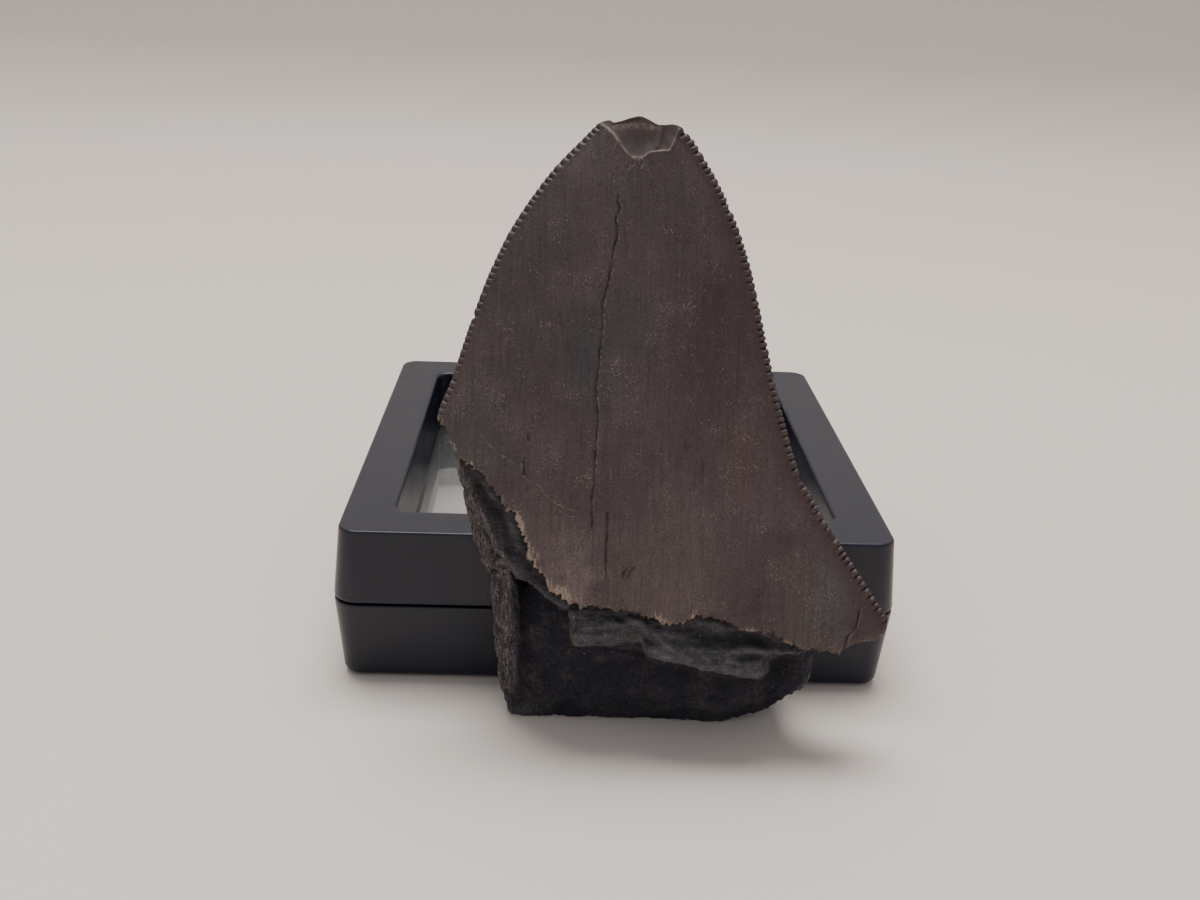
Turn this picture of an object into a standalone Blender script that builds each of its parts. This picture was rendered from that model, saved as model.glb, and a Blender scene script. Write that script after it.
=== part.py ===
"""A broken megalodon tooth, leaning back on the square film display case it is shown with.

Metres, +Z up, front towards -Y. The origin is on the table, under the middle of the whole
object. The tooth is modelled upright in its own frame (blade in the XZ plane, outer face
towards -Y, table line at Z = 0) and then leaned back on the case's top front edge.
"""

import math

import bmesh
import bpy
from mathutils import Matrix, Vector

MM = 0.001
TINY = 1e-6  # metres, under which two places are the same
GAP = 0.3  # mm, left between pieces that touch

# ---- display case, mm ----
CASE_SIDE = 70.0  # widest, at the seam between the halves
CASE_HEIGHT = 20.2
SEAM_HEIGHT = 10.7
TOP_INSET = 0.8  # draft of the lid, each side
BOTTOM_INSET = 0.9  # draft of the base, each side
CORNER_RADIUS = 3.2
TOP_EDGE_RADIUS = 0.6
BOTTOM_EDGE_RADIUS = 1.2
WINDOW_OUTSIDE = 55.6  # clear opening in the outer faces
WINDOW_AT_FILM = 54.8
WINDOW_CORNER_RADIUS = 2.0
FILM_SIDE = 59.0
FILM_THICKNESS = 0.3
FILM_SEAT = FILM_THICKNESS + 2 * GAP  # depth of the rebate the film lies in

# ---- tooth, mm ----
LEAN = 20.0  # degrees, back from upright
TOOTH_REACH = 15.16  # how far the tooth stands out in front of the case
BLADE_SETBACK = 18.7  # case front to the blade's plane, both at table height
CROWN_ROWS = 44
CROWN_COLUMNS = 26
EDGE_THICKNESS = 0.5  # left on the cutting edges

# Points (x, z) of the crown as it is now, from the tip downwards.
LEFT_SIDE = [
    (-4.4, 72.6), (-8.7, 68.0), (-13.7, 60.6), (-17.1, 52.4), (-19.8, 43.7), (-21.4, 39.1),
    (-19.0, 36.0), (-16.5, 33.9), (-13.7, 30.3), (-11.6, 27.2), (-9.0, 22.3), (-3.9, 19.1),
]
RIGHT_SIDE = [
    (5.2, 72.6), (9.3, 66.8), (13.1, 57.9), (15.4, 48.8), (17.8, 39.8), (21.5, 31.2),
    (27.4, 22.1), (29.8, 18.0),
]
TOP_RIM = [(-4.4, 72.6), (-1.5, 73.3), (1.5, 73.3), (5.2, 72.6)]
LOWER_MARGIN = [
    (-3.9, 19.1), (0.6, 18.7), (6.6, 17.4), (13.9, 16.7), (18.9, 15.3), (23.5, 14.5),
    (28.8, 16.4), (29.8, 18.0),
]

# The cutting edges as they grew, left one continued past its break: (z, x of left, x of right).
GROWN_EDGES = [
    (14.0, -33.0, 32.5), (22.0, -29.0, 27.5), (31.2, -24.8, 21.6), (39.5, -21.5, 17.9),
    (48.8, -18.3, 15.5), (57.9, -15.0, 13.2), (66.8, -9.8, 9.4), (74.0, -4.0, 4.6),
]
# Bulge of the outer and the inner face from the plane of the cutting edges: (z, front, back).
FACE_BULGE = [
    (10.0, 1.8, 10.4), (20.0, 1.9, 10.4), (26.0, 2.0, 10.2), (35.0, 2.0, 10.0), (45.0, 1.9, 9.2),
    (55.0, 1.8, 7.8), (65.0, 1.6, 5.8), (74.0, 1.3, 3.4),
]

# The exposed body and root: (z, left x, right x, front y, back y) of each level section.
ROOT_SECTIONS = [
    (0.5, -11.8, 15.5, 12.6, 18.0),
    (4.0, -12.6, 18.0, 11.3, 17.0),
    (7.0, -13.5, 20.5, 7.2, 16.3),
    (10.0, -14.1, 22.0, 2.8, 15.5),
    (12.0, -14.4, 22.4, -0.6, 14.9),
    (14.5, -14.6, 22.4, -0.2, 14.1),
    (17.5, -14.6, 21.5, 0.6, 13.2),
    (20.5, -14.6, 20.5, 0.2, 12.2),
    (24.3, -16.8, 18.5, -0.2, 11.1),
    (27.5, -17.3, 15.0, -0.2, 9.2),
    (31.0, -18.0, 9.0, 0.0, 7.0),
    (35.5, -19.2, 0.0, 0.6, 4.5),
]
ROOT_POINTS = 28
ROOT_SQUARENESS = 3.0

# The chip out of the tip, an egg-shaped scoop: centre (x, y, z) and its three radii.
TIP_CHIP = ((0.6, -2.9, 73.4), (3.9, 2.6, 4.3))


def metres(*lengths):
    return Vector(lengths) * MM


def clear_scene():
    for obj in list(bpy.data.objects):
        bpy.data.objects.remove(obj, do_unlink=True)


def new_collection(name):
    made = bpy.data.collections.new(name)
    bpy.context.scene.collection.children.link(made)
    return made


def new_material(name, colour, roughness, alpha=1.0):
    made = bpy.data.materials.new(name)
    made.use_nodes = True
    shader = made.node_tree.nodes["Principled BSDF"]
    shader.inputs["Base Color"].default_value = (*colour, 1.0)
    shader.inputs["Roughness"].default_value = roughness
    shader.inputs["Metallic"].default_value = 0.0
    shader.inputs["Alpha"].default_value = alpha
    return made


def new_object(name, bm, collection, material=None):
    mesh = bpy.data.meshes.new(name)
    bmesh.ops.recalc_face_normals(bm, faces=bm.faces)
    bm.to_mesh(mesh)
    bm.free()
    made = bpy.data.objects.new(name, mesh)
    collection.objects.link(made)
    if material:
        mesh.materials.append(material)
    return made


def cutter(name, bm):
    made = new_object(name, bm, bpy.data.collections["helpers"])
    made.hide_render = True
    made.display_type = "WIRE"
    return made


def add_boolean(obj, other, operation):
    step = obj.modifiers.new(f"{operation.lower()} {other.name}", "BOOLEAN")
    step.operation = operation
    step.solver = "EXACT"
    step.object = other


# ---- display case ----


def drafted_block(low, high, side_low, side_high, radius):
    """A square block between two heights, its sides leaning, its four upright edges rounded."""
    bm = bmesh.new()
    bmesh.ops.create_cube(bm, size=1.0)
    for vert in bm.verts:
        side = side_high if vert.co.z > 0 else side_low
        height = high if vert.co.z > 0 else low
        vert.co = metres(math.copysign(side / 2, vert.co.x), math.copysign(side / 2, vert.co.y), height)
    upright = [e for e in bm.edges if abs(e.verts[0].co.z - e.verts[1].co.z) > TINY]
    bmesh.ops.bevel(
        bm, geom=upright, offset=radius * MM, offset_type="OFFSET", segments=5, profile=0.5,
        affect="EDGES", clamp_overlap=True,
    )
    return bm


def round_rim(bm, height, radius):
    """Rounds the block's outer edge at this height."""
    rim = [e for e in bm.edges if all(abs(v.co.z - height * MM) < TINY for v in e.verts)]
    bmesh.ops.bevel(
        bm, geom=rim, offset=radius * MM, offset_type="OFFSET", segments=3, profile=0.5,
        affect="EDGES", clamp_overlap=True,
    )


def half_frame(name, outer, outside, seam, collection, material):
    """One half of the case: the outer block less its window and the rebate for its film."""
    inwards = math.copysign(1.0, outside - seam)
    window = drafted_block(
        *sorted((outside + inwards, seam - inwards)),
        *((WINDOW_AT_FILM, WINDOW_OUTSIDE) if inwards > 0 else (WINDOW_OUTSIDE, WINDOW_AT_FILM)),
        WINDOW_CORNER_RADIUS,
    )
    rebate_side = FILM_SIDE + 2 * GAP
    rebate = drafted_block(
        *sorted((seam + inwards * FILM_SEAT, seam - inwards)), rebate_side, rebate_side,
        WINDOW_CORNER_RADIUS,
    )
    frame = new_object(name, outer, collection, material)
    add_boolean(frame, cutter(f"{name}_window", window), "DIFFERENCE")
    add_boolean(frame, cutter(f"{name}_rebate", rebate), "DIFFERENCE")
    return frame


def film(name, low, collection, material):
    sheet = drafted_block(low, low + FILM_THICKNESS, FILM_SIDE, FILM_SIDE, WINDOW_CORNER_RADIUS)
    return new_object(name, sheet, collection, material)


def build_case(collection):
    plastic = new_material("case_black", (0.022, 0.022, 0.026), 0.45)
    clear = new_material("case_film", (0.85, 0.87, 0.88), 0.08, alpha=0.3)
    base_top = SEAM_HEIGHT - GAP / 2
    lid_bottom = SEAM_HEIGHT + GAP / 2

    base_block = drafted_block(
        0.0, base_top, CASE_SIDE - 2 * BOTTOM_INSET, CASE_SIDE, CORNER_RADIUS
    )
    round_rim(base_block, 0.0, BOTTOM_EDGE_RADIUS)
    lid_block = drafted_block(
        lid_bottom, CASE_HEIGHT, CASE_SIDE, CASE_SIDE - 2 * TOP_INSET, CORNER_RADIUS
    )
    round_rim(lid_block, CASE_HEIGHT, TOP_EDGE_RADIUS)

    place = bpy.data.objects.new("case_place", None)
    collection.objects.link(place)
    place.location = metres(0.0, TOOTH_REACH / 2, 0.0)
    pieces = [
        half_frame("case_base", base_block, 0.0, base_top, collection, plastic),
        half_frame("case_lid", lid_block, CASE_HEIGHT, lid_bottom, collection, plastic),
        film("film_lower", base_top - FILM_SEAT + GAP, collection, clear),
        film("film_upper", lid_bottom + GAP, collection, clear),
    ]
    for piece in pieces + list(bpy.data.collections["helpers"].objects):
        piece.parent = place


# ---- tooth ----


def along(points, share):
    """The point at this share of a polyline's length, on a smooth curve through its points."""
    lengths = [0.0]
    for a, b in zip(points, points[1:]):
        lengths.append(lengths[-1] + math.dist(a, b))
    wanted = share * lengths[-1]
    i = next((k for k in range(1, len(points) - 1) if lengths[k] >= wanted), len(points) - 1)
    f = (wanted - lengths[i - 1]) / (lengths[i] - lengths[i - 1])
    before, after = points[max(i - 2, 0)], points[min(i + 1, len(points) - 1)]
    a, b = points[i - 1], points[i]
    return tuple(
        0.5 * (
            2 * a[k] + (b[k] - before[k]) * f
            + (2 * before[k] - 5 * a[k] + 4 * b[k] - after[k]) * f**2
            + (3 * a[k] - before[k] - 3 * b[k] + after[k]) * f**3
        )
        for k in range(2)
    )


def level(table, z):
    """The rest of a table's row at height z, read between the rows around it."""
    low, high = table[0], table[-1]
    for a, b in zip(table, table[1:]):
        if a[0] <= z <= b[0]:
            low, high = a, b
            break
    if z <= table[0][0]:
        high = low
    elif z >= table[-1][0]:
        low = high
    f = 0.0 if low is high else (z - low[0]) / (high[0] - low[0])
    return [p + (q - p) * f for p, q in zip(low[1:], high[1:])]


def face_depths(x, z):
    """How far the outer and the inner face stand from the blade's plane at a place on it."""
    left, right = level(GROWN_EDGES, z)
    front, back = level(FACE_BULGE, z)
    across = min(max((x - left) / (right - left), 0.0), 1.0)
    dome = 4 * across * (1 - across)
    rim = EDGE_THICKNESS / 2
    return -(rim + (front - rim) * dome**0.7), rim + (back - rim) * dome**0.62


def crown_place(across, down):
    """Where a share across and down the crown lies, blended from its four sides."""
    left, right = along(LEFT_SIDE, down), along(RIGHT_SIDE, down)
    top, low = along(TOP_RIM, across), along(LOWER_MARGIN, across)
    corners = LEFT_SIDE[0], RIGHT_SIDE[0], LEFT_SIDE[-1], RIGHT_SIDE[-1]
    shares = (
        (1 - across) * (1 - down), across * (1 - down), (1 - across) * down, across * down,
    )
    return tuple(
        (1 - across) * left[k] + across * right[k] + (1 - down) * top[k] + down * low[k]
        - sum(share * corner[k] for share, corner in zip(shares, corners))
        for k in range(2)
    )


def loft(bm, rings):
    """Skins closed rings of equal count, and caps both ends."""
    for lower, upper in zip(rings, rings[1:]):
        for i in range(len(lower)):
            j = (i + 1) % len(lower)
            bm.faces.new((lower[i], lower[j], upper[j], upper[i]))
    bm.faces.new(rings[0][::-1])
    bm.faces.new(rings[-1])


def crown_mesh():
    """The blade: a loft of lens-shaped rows, from the lower margin up to the tip."""
    bm = bmesh.new()
    rings = []
    for row in range(CROWN_ROWS, -1, -1):
        places = [crown_place(c / CROWN_COLUMNS, row / CROWN_ROWS) for c in range(CROWN_COLUMNS + 1)]
        outer = [bm.verts.new(metres(x, face_depths(x, z)[0], z)) for x, z in places]
        inner = [bm.verts.new(metres(x, face_depths(x, z)[1], z)) for x, z in reversed(places[::2])]
        rings.append(outer + inner)
    loft(bm, rings)
    return bm


def root_ring(bm, section):
    """One rounded-square section of the root."""
    z, left, right, front, back = section
    middle = Vector(((left + right) / 2, (front + back) / 2))
    half = Vector(((right - left) / 2, (back - front) / 2))
    ring = []
    for i in range(ROOT_POINTS):
        turn = math.tau * i / ROOT_POINTS
        c, s = math.cos(turn), math.sin(turn)
        x = middle.x + half.x * math.copysign(abs(c) ** (2 / ROOT_SQUARENESS), c)
        y = middle.y + half.y * math.copysign(abs(s) ** (2 / ROOT_SQUARENESS), s)
        ring.append(bm.verts.new(metres(x, y, z)))
    return ring


def root_mesh():
    """The body bared below the crown, with its overhanging ledge and undercut foot."""
    bm = bmesh.new()
    loft(bm, [root_ring(bm, section) for section in ROOT_SECTIONS])
    return bm


def chip_mesh():
    centre, radii = TIP_CHIP
    bm = bmesh.new()
    bmesh.ops.create_uvsphere(bm, u_segments=20, v_segments=12, radius=1.0)
    bmesh.ops.transform(
        bm, verts=bm.verts, matrix=Matrix.Translation(metres(*centre)) @ Matrix.Diagonal(
            (*metres(*radii), 1.0)
        ),
    )
    return bm


def table_mesh():
    """A block under the table line, which gives the root the flat it stands on."""
    bm = bmesh.new()
    bmesh.ops.create_cube(bm, size=60 * MM)
    bmesh.ops.translate(bm, verts=bm.verts, vec=metres(0.0, 0.0, -30.0))
    return bm


def build_tooth(collection):
    dark = new_material("tooth_brown", (0.062, 0.046, 0.041), 0.5)
    place = bpy.data.objects.new("tooth_place", None)
    collection.objects.link(place)
    case_front = TOOTH_REACH / 2 - CASE_SIDE / 2
    place.location = metres(0.0, case_front - BLADE_SETBACK, 0.0)
    place.rotation_euler = (-math.radians(LEAN), 0.0, 0.0)

    tooth = new_object("tooth", crown_mesh(), collection, dark)
    root = cutter("tooth_root", root_mesh())
    chip = cutter("tooth_chip", chip_mesh())
    table = cutter("tooth_table", table_mesh())
    for piece in (tooth, root, chip):
        piece.parent = place
    table.location = metres(0.0, case_front - BLADE_SETBACK / 2, 0.0)
    add_boolean(tooth, root, "UNION")
    add_boolean(tooth, chip, "DIFFERENCE")
    add_boolean(tooth, table, "DIFFERENCE")


def main():
    clear_scene()
    parts = new_collection("megalodon_tooth")
    new_collection("helpers")
    build_case(parts)
    build_tooth(parts)


main()
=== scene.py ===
import math
from functools import partial

import bmesh
import bpy
import numpy as np
from mathutils import Matrix, Vector, noise


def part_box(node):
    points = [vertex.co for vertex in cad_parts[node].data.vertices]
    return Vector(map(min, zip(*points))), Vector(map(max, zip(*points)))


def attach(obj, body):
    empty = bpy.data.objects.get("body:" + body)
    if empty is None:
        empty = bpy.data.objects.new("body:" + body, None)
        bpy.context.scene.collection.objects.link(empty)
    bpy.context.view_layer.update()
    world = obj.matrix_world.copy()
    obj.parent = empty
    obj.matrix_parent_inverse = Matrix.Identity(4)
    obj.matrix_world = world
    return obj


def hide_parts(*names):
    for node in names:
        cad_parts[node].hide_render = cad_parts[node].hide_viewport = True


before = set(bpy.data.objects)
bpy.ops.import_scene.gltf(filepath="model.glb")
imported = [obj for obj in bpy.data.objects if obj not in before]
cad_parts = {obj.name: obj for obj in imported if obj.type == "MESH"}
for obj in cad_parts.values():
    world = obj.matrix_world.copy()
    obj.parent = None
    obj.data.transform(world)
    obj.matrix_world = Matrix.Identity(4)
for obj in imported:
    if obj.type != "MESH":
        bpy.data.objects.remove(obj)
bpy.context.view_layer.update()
mm = 0.001


def hexColor(text):  # sRGB hex to linear
    parts = [int(text[i:i + 2], 16) / 255 for i in (1, 3, 5)]
    return tuple(c / 12.92 if c <= 0.04045 else ((c + 0.055) / 1.055) ** 2.4 for c in parts) + (1.0,)


def addNode(tree, kind, inputs=None, stops=None, **settings):
    node = tree.nodes.new("ShaderNode" + kind)
    for name, value in settings.items():
        setattr(node, name, value)
    for key, value in (inputs or {}).items():
        if isinstance(value, bpy.types.NodeSocket):
            tree.links.new(value, node.inputs[key])
        else:
            node.inputs[key].default_value = value
    if stops:
        ramp = node.color_ramp
        while len(ramp.elements) < len(stops):
            ramp.elements.new(0.5)
        for element, (place, tone) in zip(ramp.elements, stops):
            element.position = place
            element.color = hexColor(tone)
    return node


def newMaterial(name):
    material = bpy.data.materials.new(name)
    material.use_nodes = True
    tree = material.node_tree
    tree.nodes.clear()
    shader = addNode(tree, "BsdfPrincipled")
    addNode(tree, "OutputMaterial", {"Surface": shader.outputs["BSDF"]})
    return material, tree, shader


def finishPiece(name, bm, material, node, smoothAngle=None):
    mesh = bpy.data.meshes.new(name)
    bm.to_mesh(mesh)
    bm.free()
    mesh.materials.append(material)
    mesh.shade_smooth()
    if smoothAngle:
        mesh.set_sharp_from_angle(angle=math.radians(smoothAngle))
    piece = bpy.data.objects.new(name, mesh)
    bpy.context.scene.collection.objects.link(piece)
    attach(piece, "root")
    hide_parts(node)
    print("made", name, len(mesh.polygons), "faces")
    return piece


def addMarks(piece, marks):  # values at the vertices that the materials read
    for name, values in marks.items():
        layer = piece.data.attributes.new(name, "FLOAT", "POINT")
        layer.data.foreach_set("value", values.astype(np.float32))


def vertexValues(mesh, what):
    values = np.empty(len(mesh.vertices) * 3, np.float32)
    mesh.vertices.foreach_get(what, values)
    return values.reshape(-1, 3).astype(float)


def setCoords(mesh, co):
    mesh.vertices.foreach_set("co", np.asarray(co, np.float32).ravel())
    mesh.update()


def smoothLine(points, count=400):
    # dense Catmull-Rom line through the points
    p = np.array(points, float)
    p = np.vstack([2 * p[0] - p[1], p, 2 * p[-1] - p[-2]])
    spans = len(p) - 3
    u = np.linspace(0, spans, count)
    i = np.minimum(u.astype(int), spans - 1)
    f = (u - i)[:, None]
    a, b, c, d = p[i], p[i + 1], p[i + 2], p[i + 3]
    square, cube = 2 * a - 5 * b + 4 * c - d, 3 * b - a - 3 * c + d
    return 0.5 * (2 * b + (c - a) * f + square * f ** 2 + cube * f ** 3)


def arcs(line):
    return np.concatenate([[0], np.cumsum(np.linalg.norm(np.diff(line, axis=0), axis=1))])


def sampleLine(line, share):
    length = arcs(line)
    at = share * length[-1]
    return np.stack([np.interp(at, length, line[:, k]) for k in range(line.shape[1])], -1)


def nearest(line, points, reach):
    # distance from each point to a line, at most reach, and how far along the line that is
    length = arcs(line)
    dist = np.full(len(points), float(reach))
    along = np.zeros(len(points))
    a, b = line[:-1], line[1:]
    low, high = line.min(0) - reach, line.max(0) + reach
    near = np.nonzero(((points > low) & (points < high)).all(1))[0]
    for part in np.array_split(near, max(1, len(near) // 4000)):  # in batches, to save memory
        if not len(part):
            continue
        p = points[part][:, None, :]
        ab = b - a
        f = np.clip(((p - a) * ab).sum(-1) / np.maximum((ab ** 2).sum(-1), 1e-12), 0, 1)
        d = np.linalg.norm(p - (a + ab * f[..., None]), axis=-1)
        k = d.argmin(1)
        rows = np.arange(len(part))
        dist[part] = np.minimum(d[rows, k], reach)
        along[part] = length[k] + f[rows, k] * (length[k + 1] - length[k])
    return dist, along


def bumps(points, size, seed=0.0, stretch=(1, 1, 1)):
    # smooth noise of about -1 to 1, with features of this size in mm
    p = np.asarray(points, float)
    if p.shape[1] == 2:
        p = np.column_stack([p, np.zeros(len(p))])
    p = p / (np.array(stretch) * size) + seed
    return np.array([noise.noise(v) for v in p.tolist()])


def waves(points, table):  # noises added up; a row is height, size, seed, stretch
    return sum(high * bumps(points, *row) for high, *row in table)


def ridged(points, size, seed=0.0, stretch=(1, 1, 1)):
    # sharp-crested noise of about 0 to 1
    p = np.asarray(points, float) / (np.array(stretch) * size) + seed
    return np.array([noise.ridged_multi_fractal(v, 0.9, 2.1, 4, 1.0, 2.0) for v in p.tolist()]) / 2.2


def patchy(points, level, vary, size, seed, low=0, high=1):
    return np.clip(level + vary * bumps(points, size, seed), low, high)


def fall(dist, width):  # 1 on a line, fading over this width
    return np.exp(-((dist / width) ** 2))


def ease(x, low, high):
    f = np.clip((x - low) / (high - low), 0, 1)
    return f * f * (3 - 2 * f)


tooth = {
    "lean": 20.0,  # degrees back from upright
    "setback": 18.7,  # mm from the case's front to the blade's plane, both at table height
}
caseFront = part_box("case_lid")[0].y / mm
toothPlace = Matrix.Translation((0, caseFront - tooth["setback"], 0)) @ Matrix.Rotation(
    -math.radians(tooth["lean"]), 4, "X"
)
toothTurn = np.array(toothPlace)


def standTooth(co):
    # from the tooth's own millimetres to metres where it stands
    return (co @ toothTurn[:3, :3].T + toothTurn[:3, 3]) * mm


# crown: two sheets over one patch of four sides, closed round the rim; points are x, z in mm
crown = {
    "leftEdge": [(-4.4, 72.55), (-5.4, 71.5), (-8.7, 68.0), (-11.1, 64.8), (-13.7, 60.6),
        (-15.8, 56.0), (-17.1, 52.4), (-18.3, 48.7), (-19.8, 43.7), (-20.9, 41.0), (-21.4, 39.1)],
    "leftBreak": [(-21.4, 39.1), (-20.5, 38.1), (-19.0, 36.0), (-16.5, 33.9), (-13.7, 30.3),
        (-12.1, 29.5), (-11.6, 27.2), (-10.4, 24.1), (-9.0, 22.3), (-6.2, 19.9), (-3.9, 19.1)],
    "rightEdge": [(5.0, 72.65), (6.3, 71.4), (6.9, 70.6), (9.3, 66.8), (11.5, 62.4), (13.1, 57.9),
        (14.3, 53.4), (15.4, 48.8), (16.5, 44.3), (17.8, 39.8), (19.3, 35.2), (21.5, 31.2),
        (24.5, 26.6), (27.5, 22.2), (30.2, 18.3)],
    "topRim": [(-4.4, 72.55), (-3.7, 72.95), (-3.0, 73.1), (-2.5, 72.85), (-1.6, 73.05), (-0.6, 73.4),
        (0.4, 73.6), (1.3, 73.3), (2.6, 72.75), (4.0, 72.95), (5.0, 72.65)],
    "lowerMargin": [(-3.9, 19.2), (-1.5, 18.95), (0.9, 19.05), (3.2, 18.0), (6.4, 17.4), (8.3, 18.3),
        (11.6, 17.6), (13.9, 16.7), (16.6, 16.6), (18.9, 15.3), (21.5, 14.6), (23.8, 14.5),
        (25.8, 15.3), (28.2, 15.5), (29.5, 16.4), (30.2, 18.3)],
    "grownEdges": [(14.0, -33.0, 32.5), (22.0, -29.0, 27.5), (31.2, -24.8, 21.6), (39.5, -21.5, 17.9),
        (48.8, -18.3, 15.5), (57.9, -15.0, 13.2), (66.8, -9.8, 9.4), (74.0, -4.0, 4.6)],
    "bulge": [(10.0, 1.8, 10.4), (20.0, 1.9, 10.4), (26.0, 2.0, 10.2), (35.0, 2.0, 10.0),
        (45.0, 1.9, 9.2), (55.0, 1.8, 7.8), (65.0, 1.6, 5.8), (74.0, 1.3, 3.4)],
    "cells": (100, 154),
    # cells are halved this close, in mm, to the sides, the tip, the lower margin and the cracks
    "finerFront": [(1.9, 5.2, 2.0, 0.45), (1.05, 4.4, 0.9, 0.22)],
    "finerBack": [(1.3, 1.0, 0.8, 0), (0.5, 0.3, 0.3, 0)],
    "finerReach": 1.0,
    "edgeHalf": 0.14,  # half the thickness of the cutting edge
    "dome": (0.85, 0.62),  # how squarely the front and the back swell
    "frontWaves": [(0.05, 6.0, 2.0, (1, 2.5, 1)),
        (0.015, 1.2, 5.0, (1, 3.5, 1))],  # height, size, seed, stretch
    "backWaves": [(0.12, 5.0, 8.0), (0.03, 1.3, 3.0)],
}
edgeZone = {"reach": 3.0, "near": 2.9}  # mm from an edge that its shaping is worked out, and applied
serration = {
    "pitch": 0.84,
    "drift": [(0.2, 0.71, 1),
        (0.12, 1.9, 2)],  # beads, waves per mm and shift: the pitch isn't quite even
    "crest": 0.75,  # below 1 makes rounder beads
    "left": {"notch": 0.055, "groove": 0.27, "bead": 0.03, "valley": 0.03, "reach": 0.8},
    "right": {"notch": 0.17, "groove": 0.3, "bead": 0.15, "valley": 0.13, "reach": 1.1},
    "beadAt": 0.42, "beadWide": 0.3,  # mm in from the edge
    "valleyAt": 0.25, "valleyWide": 0.45,  # mm past the grooves' reach
    "notchFade": 0.4,
    "backShare": 0.5,  # the back is serrated half as deep
    # beads knocked off: x, z, size in mm
    "chips": [(19.6, 33.9, 0.75), (23.3, 27.3, 0.5), (-17.6, 51.0, 0.25), (10.9, 64.0, 0.3)],
    "chipBite": 0.28, "chipFade": 0.8, "chipDepth": 0.1,
}
margin = {
    "jag": (0.45, 0.42, 0.36), "size": (2.2, 0.8, 0.3),  # mm, coarse to fine
    "leftPush": 1.25, "sideways": 0.7,  # the left break is more jagged, and sideways too
    "fade": 0.55, "flake": 0.3, "brokenWidth": 0.07,
    "frayBehind": 0.3,
    "fray": {
        "level": 0.32, "vary": 0.85, "size": 2.2,
        "break": (0.5, -30.5, -27.5),  # more below this height in the left break
        "middle": (0.35, 4.6, 3.6),  # more round this x
        "lobe": (0.35, 15.0, 20.0),  # less from here on
        "limits": (0.1, 1.1), "run": (0.15, 0.75),
    },
}
neck = {"top": 35.0, "slope": 0.42, "middle": 2.5, "wander": 0.5, "size": 4.0, "soft": (0.5, 0.3)}
cracks = {
    "deep": [
        [(-1.8, 64.6), (-1.9, 64.1), (-1.6, 63.2), (-1.9, 62.6), (-2.0, 61.7), (-1.8, 60.3),
            (-2.2, 58.6), (-2.4, 56.6), (-2.9, 54.2), (-3.2, 52.2), (-3.2, 49.8), (-3.4, 47.6),
            (-3.5, 45.4), (-3.7, 43.7), (-3.6, 42.1), (-3.4, 39.9), (-3.5, 37.7), (-3.6, 35.5),
            (-3.6, 33.3), (-3.8, 31.1), (-3.7, 28.1)],
        [(-2.0, 29.8), (-2.0, 27.8), (-2.1, 24.5), (-2.0, 22.2)],
        [(-10.5, 40.3), (-10.5, 39.3)],
        [(-11.0, 38.3), (-11.0, 37.4)],
        [(-11.4, 35.4), (-11.4, 33.6)],
        [(0.2, 22.3), (0.6, 23.1), (1.1, 23.8)],
        [(-0.2, 22.6), (0.1, 23.3), (0.3, 23.6)],
        [(26.75, 19.3), (26.45, 17.9), (26.05, 17.1), (25.35, 16.2), (25.1, 15.2)],
    ],
    "faint": [
        [(4.1, 34.5), (4.0, 33.5), (3.7, 32.8)],
        [(8.4, 35.6), (8.4, 33.6), (8.6, 31.6)],
        [(6.4, 38.0), (6.4, 37.0)],
    ],
    "faintness": 0.4,  # of a deep crack's strength
    "light": [
        [(-16.2, 38.0), (-15.8, 37.4), (-14.9, 36.5), (-14.3, 36.0), (-13.2, 35.3), (-12.5, 34.8)],
        [(-11.8, 34.9), (-11.6, 34.2), (-11.2, 33.2), (-10.5, 32.9), (-9.7, 32.5), (-9.3, 32.0),
            (-9.0, 31.5), (-8.4, 31.1), (-7.8, 30.6)],
        [(-7.8, 30.6), (-6.7, 30.1), (-5.5, 29.8)],
        [(-1.8, 35.0), (-1.8, 33.3), (-1.8, 31.1)],
        [(27.0, 19.4), (26.7, 17.9), (26.3, 17.1), (25.6, 16.2), (25.4, 15.1)],
        [(-2.1, 70.6), (-2.4, 69.8), (-2.7, 69.2)],
    ],
    "width": 0.12, "depth": 0.2, "scratchWidth": 0.05, "wobble": 0.1,
    "lipShift": 0.17, "lipWidth": 0.06,  # mm to the pale right lip of the long crack
}
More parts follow.
